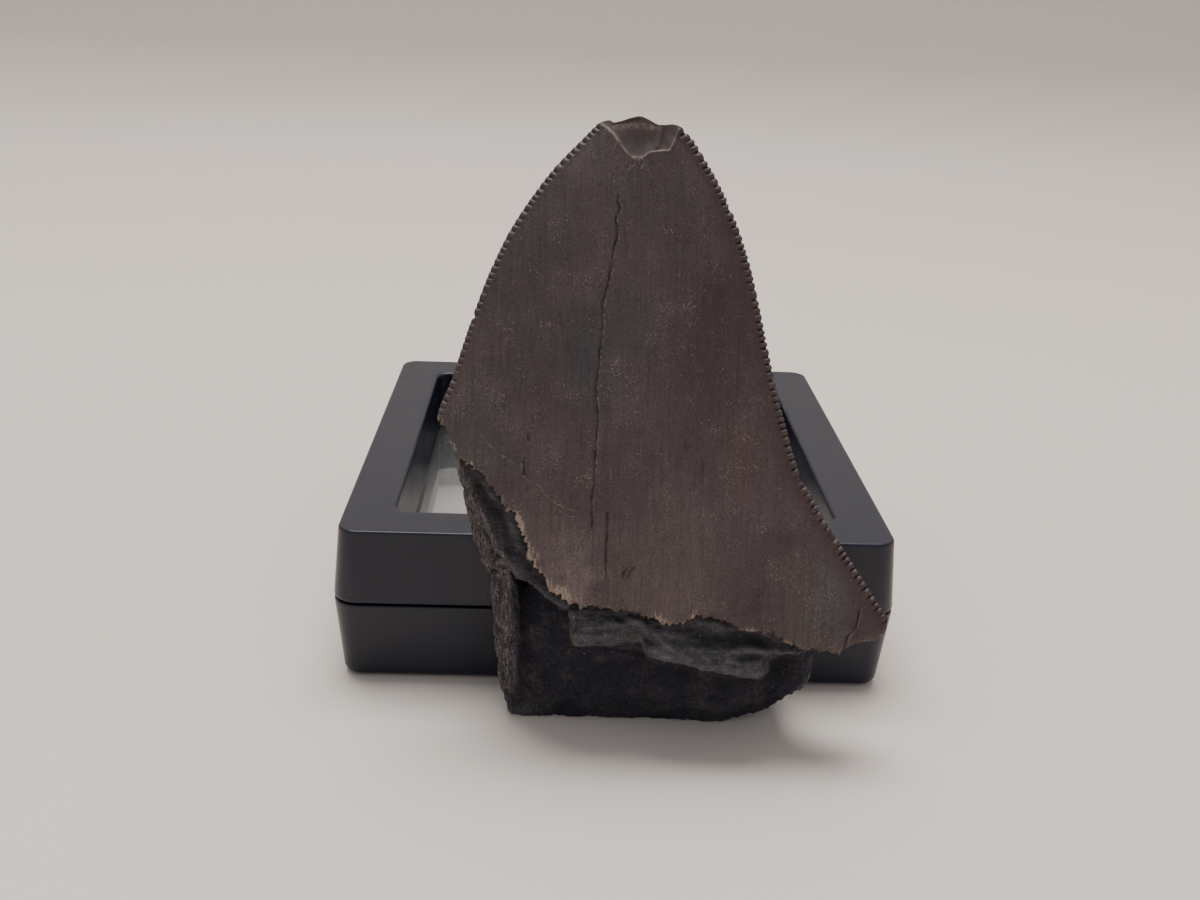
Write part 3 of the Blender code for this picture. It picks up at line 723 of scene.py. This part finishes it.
case = {
    "side": 70.0, "height": 20.2, "seam": 10.7, "gap": 0.3,
    "topInset": 0.8, "bottomInset": 0.9,  # draft: how far the walls lean in
    "cornerRadius": 3.2, "cornerSteps": 10,
    "topRound": 0.34, "bottomRound": 1.2, "roundSteps": 5,
    "windowOutside": 55.6, "windowAtFilm": 54.8, "windowRadius": 2.0, "windowRound": 0.5,
    "outerFrom": 65.0,  # loops wider than this have the outer corners' radius
    "filmSide": 59.0, "filmRoom": 0.6, "seat": 0.9,
    "seamLip": [(0.5, 0.0), (0.15, 0.06), (0.0, 0.25)],  # how far in from the side, how far from the seam
    "hold": 0.2,
    "sharpAngle": 35,  # degrees
}
film = {
    "cells": 90,
    "lower": (9.75, 1.0), "upper": (11.6, 4.0),  # height in mm, and the seed of its streaks
    "wave": 0.02,  # mm
    "streak": (2.2, 26),  # mm across and along
    "rise": 8,  # the waves are full this share, 1/8, of the way in from the rim
    "thickness": 0.08,
}
caseMiddle = (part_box("case_lid")[0].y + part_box("case_lid")[1].y) / 2


def squareLoop(bm, side, radius, height):
    made = bmesh.ops.create_grid(bm, x_segments=1, y_segments=1, size=side / 2)
    bmesh.ops.bevel(bm, geom=made["verts"], offset=radius, offset_type="OFFSET", segments=case["cornerSteps"],
                    profile=0.5, affect="VERTICES", material=-1)
    face = bm.faces[:][0]
    edges = list(face.edges)
    bmesh.ops.translate(bm, verts=face.verts, vec=(0, 0, height))
    bmesh.ops.delete(bm, geom=[face], context="FACES_ONLY")
    return edges


def sweepSquare(bm, profile):
    # profile: side, height and corner radius, in order round the section
    side, height, radius = profile[0]
    loop = squareLoop(bm, side, radius, height)
    for (side, height, radius), (newSide, newHeight, newRadius) in zip(profile, profile[1:] + profile[:1]):
        made = bmesh.ops.extrude_edge_only(bm, edges=loop)["geom"]
        for v in (g for g in made if isinstance(g, bmesh.types.BMVert)):
            for k in (0, 1):
                turn = (abs(v.co[k]) - side / 2 + radius) / radius
                v.co[k] = math.copysign(newSide / 2 - newRadius + newRadius * turn, v.co[k])
            v.co.z = newHeight
        loop = [g for g in made if isinstance(g, bmesh.types.BMEdge)]
    bmesh.ops.remove_doubles(bm, verts=bm.verts, dist=1e-4)


def roundOver(side, height, radius, sideStep, heightStep):
    # loops of a quarter round, from the wall (side) to the flat (height)
    made = []
    for i in range(case["roundSteps"] + 1):
        turn = math.pi / 2 * i / case["roundSteps"]
        out = side + sideStep * 2 * radius * (1 - math.cos(turn))
        made.append((out, height + heightStep * radius * (math.sin(turn) - 1)))
    return made


def holdFlat(profile):
    # a loop close to each end of a long face, so that it shades flat and only the rounding bends the light
    held = []
    for (side, height), (nextSide, nextHeight) in zip(profile, profile[1:] + profile[:1]):
        held.append((side, height))
        length = math.hypot((nextSide - side) / 2, nextHeight - height)
        if length > 4 * case["hold"]:
            for share in (case["hold"] / length, 1 - case["hold"] / length):
                held.append((side + share * (nextSide - side), height + share * (nextHeight - height)))
    return held


def placeOnCase(bm, height=0):
    bmesh.ops.translate(bm, verts=bm.verts, vec=(0, caseMiddle / mm, height))
    bmesh.ops.scale(bm, verts=bm.verts, vec=(mm, mm, mm))


def makeHalf(name, node, material, isLid):
    c = case
    up = 1 if isLid else -1
    seam = c["seam"] + up * c["gap"] / 2
    flat = c["height"] if isLid else 0.0
    outSide = c["side"] - 2 * c["topInset" if isLid else "bottomInset"]
    seat = seam + up * c["seat"]
    well = c["filmSide"] + c["filmRoom"]
    profile = [(c["side"] - inset, seam + up * rise) for inset, rise in c["seamLip"]]
    profile += roundOver(outSide, flat, c["topRound" if isLid else "bottomRound"], -1, up)
    profile += roundOver(c["windowOutside"], flat, c["windowRound"], 1, up)[::-1]
    profile += [(c["windowAtFilm"], seat), (well, seat), (well, seam)]
    section = []
    for side, height in holdFlat(profile):
        outerRadius = c["cornerRadius"] - (c["side"] - side) / 2
        section.append((side, height, outerRadius if side > c["outerFrom"] else c["windowRadius"]))
    bm = bmesh.new()
    sweepSquare(bm, section)
    placeOnCase(bm)
    bmesh.ops.recalc_face_normals(bm, faces=bm.faces)
    finishPiece(name, bm, material, node, c["sharpAngle"])


def makeFilm(name, node, material, height, seed):
    bm = bmesh.new()
    half = case["filmSide"] / 2
    bmesh.ops.create_grid(bm, x_segments=film["cells"], y_segments=film["cells"], size=half)
    across, along = film["streak"]
    for v in bm.verts:
        inside = 1 - max(abs(v.co.x), abs(v.co.y)) / half
        streak = noise.noise((v.co.x / across, v.co.y / along, seed))
        v.co.z = film["wave"] * streak * min(1.0, inside * film["rise"])
    placeOnCase(bm, height)
    bmesh.ops.solidify(bm, geom=bm.faces[:], thickness=film["thickness"] * mm)
    bmesh.ops.recalc_face_normals(bm, faces=bm.faces)
    finishPiece(name, bm, material, node)


def toothCoords(tree):
    # object coordinates turned back to the tooth's own millimetres
    coords = addNode(tree, "TexCoord").outputs["Object"]
    lean = math.radians(tooth["lean"])
    ahead = tooth["setback"] - caseFront
    return addNode(tree, "Mapping", {
        "Vector": coords, "Scale": (1 / mm, 1 / mm, 1 / mm), "Rotation": (lean, 0, 0),
        "Location": (0, ahead * math.cos(lean), ahead * math.sin(lean)),
    }).outputs[0]


# In these finishes a noise's first number is its repeats per mm: 3.2 is a grain of about 0.3 mm
enamelFinish = {
    "ramps": {  # source, stops
        "base": ("cloud", [(0.34, "#42312f"), (0.5, "#4b3c3a"), (0.66, "#574846")]),
        "tan": ("grit", [(0.35, "#6e5c51"), (0.5, "#8f7b6b"), (0.65, "#b3a08a")]),  # bared dentine
        "bone": ("grain", [(0.35, "#231f21"), (0.5, "#3a3534"), (0.68, "#5a514b")]),
    },
    "noises": {  # repeats per mm, detail, roughness
        "cloud": (0.085, 5.0, 0.6),
        "wander": (0.55, 4.0, 0.5),
        "olive": (0.24, 6.0, 0.68),
        "grain": (3.2, 5.0, 0.8),
        "grit": (6.5, 2.0, 0.5),
        "dust": (4.4, 3.0, 0.6),
        "dusty": (0.35, 3.0, 0.5),
    },
    "stretched": {  # turn about y, repeats per mm in x, y and z, detail, roughness
        "lines": (0.0, (3.2, 0.6, 0.16), 3.0, 0.5),  # growth lines up the blade, 0.3 mm apart
        "teeth": (0.0, (5.5, 0.8, 0.7), 3.0, 0.7),  # short upright teeth where the enamel flaked
    },
    "stains": [  # x, z, size in mm, colour, strength; the cool ones lie by the long crack and the lobe
        (-5.0, 47.5, 4.2, "#393639", 0.8), (0.6, 50.4, 3.4, "#3d3839", 0.6),
        (-3.4, 43.0, 2.6, "#363336", 0.5), (22.8, 20.4, 3.4, "#404144", 0.8),
        (-16.8, 38.5, 4.2, "#47423e", 0.7), (8.5, 47.0, 5.0, "#41332f", 0.4),
        (12.0, 52.0, 8.0, "#3f2826", 0.55), (12.8, 35.8, 4.0, "#593a33", 0.5),
        (10.0, 45.0, 4.0, "#452e2c", 0.45), (-13.0, 52.0, 9.0, "#3d302e", 0.5),
        (-9.0, 26.0, 6.0, "#6a5652", 0.4), (-5.5, 22.3, 3.6, "#7a6661", 0.7),
        (5.0, 21.0, 8.0, "#67544e", 0.65), (21.0, 19.5, 6.0, "#5e5049", 0.5),
    ],
    "stainHeight": 0.62,  # a stain is longer up the blade than across
    "ranges": {  # source, from low, from high, to low, to high
        "olive": ("olive", 0.5, 0.68, 0.0, 0.28),
        "shade": ("fine", 0.95, 1.6, 0.38, 1.34),
        "speck": ("dustSum", 0.84, 0.92, 0.0, 0.5),
        "pit": ("dots", 0.05, 0.12, 0.7, 0.0),
        "frayLevel": ("fraySum", 0.74, 0.94, 0.0, 0.85),
        "rough": ("fine", 1.0, 1.7, 0.42, 0.62),
    },
    "sums": {  # times, source and added source
        "fineLines": ("lines", 0.55, "grain"),
        "fine": ("grit", 1.0, "fineLines"),
        "dustSum": ("dusty", 0.42, "dust"),
        "fraySum": ("fray", 0.8, "teeth"),
    },
    "dotsPerMm": 0.75,  # small dark pits
    "layers": [  # what is laid over the base in turn: level, strength, colour
        ("olive", 1.0, "#50483f"),
        ("full", 1.0, "shade"),
        ("speck", 1.0, "#8d7c74"),  # pale mineral dust
        ("pit", 1.0, "#261d1c"),
        ("edgeBand", 0.62, "#3f2826"),  # redder and darker behind the cutting edge
        # painted shade in the grooves between the beads
        ("groove", 0.6, "#1c1413"),
        ("frayLevel", 1.0, "tan"),
        ("neck", 0.8, "bone"),
        ("broken", 1.0, "bone"),
        ("chip", 0.6, "#463b38"),
        ("chipRim", 0.7, "#9a8676"),
        # the crack mark also carries the painted shadow in the gap left of the tip's peak and painted shade
        # in the pits below the rim
        ("crack", 1.0, "#210d0c"),
        # the scratch mark also carries the painted highlight between the pits below the tip's rim
        ("scratch", 0.5, "#948378"),
    ],
    "darken": ("shade",),  # these multiply what is under them
    "marks": ("groove", "edgeBand", "fray", "broken", "neck", "chip", "chipRim", "crack", "scratch"),
    "rougher": (("chip", 0.35), ("neck", 0.25), ("broken", 0.3)),
    "pitDepth": -1.2,
    "bump": {"Strength": 0.55, "Distance": 0.00006},
}


def toothPatterns(add, place, look):
    # every pattern and mark that a finish lists, by name
    values = {"full": 1.0}
    for name, (scale, detail, rough) in look["noises"].items():
        values[name] = add("TexNoise", {"Vector": place, "Scale": scale, "Detail": detail,
                                        "Roughness": rough}).outputs["Fac"]
    for name, (turn, scale, detail, rough, *ridge) in look["stretched"].items():
        drawn = add("Mapping", {"Vector": place, "Rotation": (0, turn, 0), "Scale": scale}).outputs[0]
        values[name] = add("TexNoise", {"Vector": drawn, "Scale": 1.0, "Detail": detail, "Roughness": rough,
                                        **dict(zip(("Offset", "Gain"), ridge))},
                           noise_type="RIDGED_MULTIFRACTAL" if ridge else "FBM").outputs["Fac"]
    dots = add("TexVoronoi", {"Vector": place, "Scale": look["dotsPerMm"]}, feature="F1")
    values["dots"] = dots.outputs["Distance"]
    for name in look["marks"]:
        values[name] = add("Attribute", attribute_name=name).outputs["Fac"]
    for name, (source, times, added) in look["sums"].items():
        values[name] = add("Math", {0: values[source], 1: times, 2: values[added]},
                           operation="MULTIPLY_ADD").outputs[0]
    for name, (source, *limits) in look["ranges"].items():
        values[name] = add("MapRange", {0: values[source], **dict(enumerate(limits, 1))}).outputs[0]
    for name, (source, stops) in look["ramps"].items():
        values[name] = add("ValToRGB", {"Fac": values[source]}, stops).outputs[0]
    return values


def layOver(add, color, look, values):
    # each listed layer goes over the last
    for name, much, tone in look["layers"]:
        level = add("Math", {0: values[name], 1: much}, operation="MULTIPLY").outputs[0]
        over = hexColor(tone) if tone[0] == "#" else values[tone]
        blend = "MULTIPLY" if tone in look["darken"] else "MIX"
        color = add("Mix", {0: level, 6: color, 7: over}, data_type="RGBA", blend_type=blend).outputs[2]
    return color


def enamelMaterial():
    # fossil tooth enamel: mineral-stained, worn satin; fine grain and growth lines catch the light
    look = enamelFinish
    material, tree, shader = newMaterial("fossilEnamel")
    add = partial(addNode, tree)
    place = toothCoords(tree)
    values = toothPatterns(add, place, look)
    squash = (1, 0, look["stainHeight"])
    flatPlace = add("VectorMath", {0: place, 1: squash}, operation="MULTIPLY").outputs[0]
    color = values["base"]
    for x, z, size, tone, much in look["stains"]:
        away = add("VectorMath", {0: flatPlace, 1: (x, 0, z * look["stainHeight"])},
                   operation="DISTANCE").outputs["Value"]
        ragged = add("Math", {0: values["wander"], 1: size * 1.5, 2: away},
                     operation="MULTIPLY_ADD").outputs[0]
        level = add("MapRange", {0: ragged, 1: size * 0.75, 2: size * 1.9, 3: much, 4: 0.0},
                    interpolation_type="SMOOTHSTEP").outputs[0]
        color = add("Mix", {0: level, 6: color, 7: hexColor(tone)}, data_type="RGBA").outputs[2]
    color = layOver(add, color, look, values)
    tree.links.new(color, shader.inputs["Base Color"])
    rough = values["rough"]
    for name, much in look["rougher"]:
        rough = add("Math", {0: values[name], 1: much, 2: rough}, operation="MULTIPLY_ADD").outputs[0]
    tree.links.new(rough, shader.inputs["Roughness"])
    height = add("Math", {0: values["pit"], 1: look["pitDepth"], 2: values["fine"]},
                 operation="MULTIPLY_ADD").outputs[0]
    bump = add("Bump", {**look["bump"], "Height": height})
    tree.links.new(bump.outputs[0], shader.inputs["Normal"])
    return material


rootFinish = {
    "ramps": {
        "base": ("cloud", [(0.36, "#221e31"), (0.5, "#2a2536"), (0.66, "#413b3a")]),
        "stone": ("patch", [(0.36, "#3a363b"), (0.5, "#504c4e"), (0.68, "#5e5a5b")]),
        "brown": ("fibre", [(0.38, "#3c3638"), (0.5, "#5e5654"), (0.62, "#80746d")]),
    },
    "noises": {  # repeats per mm, detail, roughness
        "cloud": (0.35, 6.0, 0.65),
        "patch": (0.75, 5.0, 0.7),
        "grit": (4.2, 4.0, 0.8),
    },
    "stretched": {  # turn about y, repeats per mm in x, y and z, detail, roughness
        "fibre": (0.0, (4.5, 4.5, 0.5), 4.0, 0.75),
        "beds": (0.25, (0.9, 2.0, 4.0), 4.0, 0.7),
        "flaky": (-0.3, (1.5, 1.5, 0.45), 6.0, 0.62, 0.9, 1.2),  # ridged, with its offset and gain
    },
    "sums": {},
    "ranges": {  # source, from low, from high, to low, to high
        "flakes": ("flaky", 0.3, 1.3, 0.0, 1.0),
        "flakeShade": ("flakes", 0.0, 1.0, 0.6, 1.4),
        "fine": ("grit", 0.32, 0.68, 0.1, 1.9),
        "rough": ("grit", 0.3, 0.7, 0.62, 0.9),
        "glintDots": ("dots", 0.08, 0.12, 1.0, 0.0),
        "glintPatch": ("patch", 0.56, 0.6, 0.0, 1.0),
    },
    "strokes": (("liftedWearAndHighlight", 0.55), ("sunkShade", 0.8)),
    "dotsPerMm": 1.3,  # quartz grains
    "layers": [  # what is laid over the base in turn: level, strength, colour
        ("smoothFace", 0.92, "stone"),  # worn grey ledges, made paler as painted light where they face up
        # brown fibrous left side: its own tone, made paler as painted light where it faces left
        ("side", 0.8, "brown"),
        ("full", 1.0, "shade"),
        # paler on the raised ridges and lips: partly wear, partly painted highlight
        ("liftedWearAndHighlight", 1.0, "#6a6466"),
        # painted shade in the cut hollows and on the bone below the enamel's edge
        ("sunkShade", 1.0, "#17141c"),
        ("torn", 1.0, "flakeShade"),
        ("rougher", 1.0, "fine"),
        ("glint", 0.8, "#cfcac4"),
    ],
    "darken": ("shade", "flakeShade", "fine"),  # these multiply what is under them
    "marks": ("smoothFace", "side", "relief", "liftedWearAndHighlight", "sunkShade", "torn"),
    "bump": {"Strength": 0.9, "Distance": 0.00035},
}


def rootMaterial():
    # fossil root bone: phosphate-blackened and matt, gritty, with worn grey ledges and brown fibres; the
    # ledges and the left side are paler partly as painted light, and the hollows and the bone under the
    # enamel's edge carry painted shade
    look = rootFinish
    material, tree, shader = newMaterial("fossilRoot")
    add = partial(addNode, tree)
    place = toothCoords(tree)
    values = toothPatterns(add, place, look)
    rock = add("Mix", {0: values["side"], 2: values["grit"], 3: values["fibre"]}).outputs[0]
    rock = add("Mix", {0: values["smoothFace"], 2: rock, 3: values["beds"]}).outputs[0]
    # painted light and shade: lighter where the relief rises and darker where it sinks, mixed with the grit,
    # fibres and beds
    broken = add("Math", {0: values["relief"], 1: 0.55, 2: rock}, operation="MULTIPLY_ADD").outputs[0]
    values["shade"] = add("MapRange", {0: broken, 1: 0.5, 2: 1.05, 3: 0.42, 4: 1.75}).outputs[0]
    for name, much in look["strokes"]:
        level = add("Math", {0: values["grit"], 1: 1.3, 2: values[name]}, operation="MULTIPLY_ADD").outputs[0]
        values[name] = add("MapRange", {0: level, 1: 0.95, 2: 1.55, 3: 0.0, 4: much}).outputs[0]
    values["rougher"] = add("Math", {0: values["smoothFace"], 1: -0.55, 2: 1.0},
                            operation="MULTIPLY_ADD").outputs[0]
    values["glint"] = add("Math", {0: values["glintDots"], 1: values["glintPatch"]},
                          operation="MULTIPLY").outputs[0]
    color = layOver(add, values["base"], look, values)
    tree.links.new(color, shader.inputs["Base Color"])
    tree.links.new(values["rough"], shader.inputs["Roughness"])
    height = add("Math", {0: rock, 1: 1.2, 2: values["grit"]}, operation="MULTIPLY_ADD").outputs[0]
    flakes = add("Math", {0: values["flakes"], 1: values["torn"]}, operation="MULTIPLY").outputs[0]
    height = add("Math", {0: flakes, 1: 1.5, 2: height}, operation="MULTIPLY_ADD").outputs[0]
    bump = add("Bump", {**look["bump"], "Height": height})
    tree.links.new(bump.outputs[0], shader.inputs["Normal"])
    return material


plasticFinish = {
    "tones": [(0.3, "#171825"), (0.7, "#1c1d2b")],
    "cloudPerMm": 0.11,
    "grainPerMm": 3.0,  # coarser than a real moulded grain, so that it shows
    "lintPerMm": 0.33,
    "lint": "#77736f",
    "rough": (0.285, 0.38),  # satin; with 0.26 as its low end, dark specks showed on the walls
    "IOR": 1.43,
    "bump": {"Strength": 0.35, "Distance": 0.00002},
}


def plasticMaterial():
    # moulded black plastic: soft satin with a faint grain and a little lint
    look = plasticFinish
    material, tree, shader = newMaterial("mouldedBlackPlastic")
    add = partial(addNode, tree)
    coords = add("TexCoord").outputs["Object"]
    place = add("Mapping", {"Vector": coords, "Scale": (1 / mm, 1 / mm, 1 / mm)}).outputs[0]
    cloud = add("TexNoise", {"Vector": place, "Scale": look["cloudPerMm"], "Detail": 4.0}).outputs["Fac"]
    grain = add("TexNoise", {"Vector": place, "Scale": look["grainPerMm"], "Detail": 3.0,
                             "Roughness": 0.6}).outputs["Fac"]
    color = add("ValToRGB", {"Fac": cloud}, look["tones"]).outputs[0]
    dots = add("TexVoronoi", {"Vector": place, "Scale": look["lintPerMm"]}, feature="F1").outputs["Distance"]
    lint = add("MapRange", {0: dots, 1: 0.02, 2: 0.05, 3: 0.3, 4: 0.0}).outputs[0]
    color = add("Mix", {0: lint, 6: color, 7: hexColor(look["lint"])}, data_type="RGBA").outputs[2]
    tree.links.new(color, shader.inputs["Base Color"])
    both = add("Math", {0: grain, 1: 0.35, 2: cloud}, operation="MULTIPLY_ADD").outputs[0]
    low, high = look["rough"]
    rough = add("MapRange", {0: both, 1: 0.4, 2: 1.0, 3: low, 4: high}).outputs[0]
    tree.links.new(rough, shader.inputs["Roughness"])
    shader.inputs["IOR"].default_value = look["IOR"]
    bump = add("Bump", {**look["bump"], "Height": grain})
    tree.links.new(bump.outputs[0], shader.inputs["Normal"])
    return material


filmFinish = {"Roughness": 0.03, "IOR": 1.3, "Transmission Weight": 0.975}


def filmMaterial():
    # clear stretched film: nearly invisible, shown only by a faint gloss and its streaks
    material, _, shader = newMaterial("stretchedFilm")
    shader.inputs["Base Color"].default_value = hexColor("#ffffff")
    for name, value in filmFinish.items():
        shader.inputs[name].default_value = value
    return material


plastic = plasticMaterial()
clear = filmMaterial()
print("case finishes ready")
makeCrown(enamelMaterial())
makeRoot(rootMaterial())
makeHalf("caseBase", "case_base", plastic, False)
makeHalf("caseLid", "case_lid", plastic, True)
makeFilm("filmLower", "film_lower", clear, *film["lower"])
makeFilm("filmUpper", "film_upper", clear, *film["upper"])

studio = {
    "camera": {"place": (-7.789, caseFront - 137.285, 85.951), "yaw": 2.092, "pitch": 21.470, "roll": 2.352,
               "lens": 1261.3 / 1200 * 36, "near": 0.01},  # place in mm, turns in degrees
    "key": {"place": (-0.05, 0.31, 1.07), "size": 0.8, "watts": 16.2},
    "world": {"color": (0.89, 0.93, 1.0, 1), "strength": 0.5},
    "wall": 0.37, "wallHeight": 0.8, "sweep": 0.05, "floorHalf": 2.5, "below": 0.0001,  # metres
    "table": "#ebddd0",
    "wallTones": [(0.01, 0.12, "#c4c0bb"), (0.12, 0.16, "#f6f1ec")],  # heights it starts and is full at; the greyer tone low on the wall is painted shade
    "roughness": 0.6,
}


def makeCamera():
    c = studio["camera"]
    data = bpy.data.cameras.new("camera")
    data.sensor_width = 36.0
    data.lens = c["lens"]
    data.clip_start = c["near"]
    camera = bpy.data.objects.new("camera", data)
    bpy.context.scene.collection.objects.link(camera)
    yaw, pitch, roll = (math.radians(c[k]) for k in ("yaw", "pitch", "roll"))
    turn = Matrix.Rotation(-yaw, 3, "Z") @ Matrix.Rotation(math.pi / 2 - pitch, 3, "X")
    turn = turn @ Matrix.Rotation(roll, 3, "Z")
    camera.matrix_world = Matrix.Translation(Vector(c["place"]) * mm) @ turn.to_4x4()
    bpy.context.scene.camera = camera


def makeKeyLight():
    spec = studio["key"]
    data = bpy.data.lights.new("key", "AREA")
    data.shape = "ELLIPSE"
    data.size = data.size_y = spec["size"]
    data.energy = spec["watts"]
    light = bpy.data.objects.new("key", data)
    bpy.context.scene.collection.objects.link(light)
    light.location = spec["place"]
    light.rotation_euler = Vector(spec["place"]).to_track_quat("Z", "Y").to_euler()  # faces the origin


def makeFloor():
    # a flat floor that sweeps up into a wall behind
    c = studio
    bm = bmesh.new()
    bmesh.ops.create_grid(bm, x_segments=1, y_segments=1, size=c["floorHalf"])
    bmesh.ops.translate(bm, verts=bm.verts, vec=(0, c["wall"] - c["floorHalf"], 0))
    back = [e for e in bm.edges if all(v.co.y > c["wall"] - 0.1 for v in e.verts)]
    wall = bmesh.ops.extrude_edge_only(bm, edges=back)["geom"]
    top = [g for g in wall if isinstance(g, bmesh.types.BMVert)]
    bmesh.ops.translate(bm, verts=top, vec=(0, 0, c["wallHeight"]))
    corner = [e for e in bm.edges if all(v.co.y > c["wall"] - 0.1 and v.co.z < 0.1 for v in e.verts)]
    bmesh.ops.bevel(bm, geom=corner, offset=c["sweep"], offset_type="OFFSET", segments=32, profile=0.5,
                    affect="EDGES", material=-1)
    mesh = bpy.data.meshes.new("floor")
    bm.to_mesh(mesh)
    bm.free()
    mesh.shade_smooth()
    # matt painted board: a warm pale table, and a wall that is greyer low down, as painted shade, and paler
    # above
    material, tree, shader = newMaterial("paleTable")
    coords = addNode(tree, "TexCoord").outputs["Object"]
    rise = addNode(tree, "SeparateXYZ", {0: coords}).outputs["Z"]
    color = hexColor(c["table"])
    for start, full, tone in c["wallTones"]:
        level = addNode(tree, "MapRange", {0: rise, 1: start, 2: full}).outputs[0]
        color = addNode(tree, "Mix", {0: level, 6: color, 7: hexColor(tone)}, data_type="RGBA").outputs[2]
    tree.links.new(color, shader.inputs["Base Color"])
    shader.inputs["Roughness"].default_value = c["roughness"]
    mesh.materials.append(material)
    floor = bpy.data.objects.new("floor", mesh)
    bpy.context.scene.collection.objects.link(floor)
    floor.location.z = -c["below"]


makeCamera()
makeKeyLight()
makeFloor()
world = bpy.data.worlds.new("world")
world.use_nodes = True
background = world.node_tree.nodes["Background"]
background.inputs[0].default_value = studio["world"]["color"]
background.inputs[1].default_value = studio["world"]["strength"]
bpy.context.scene.world = world
print("studio ready")
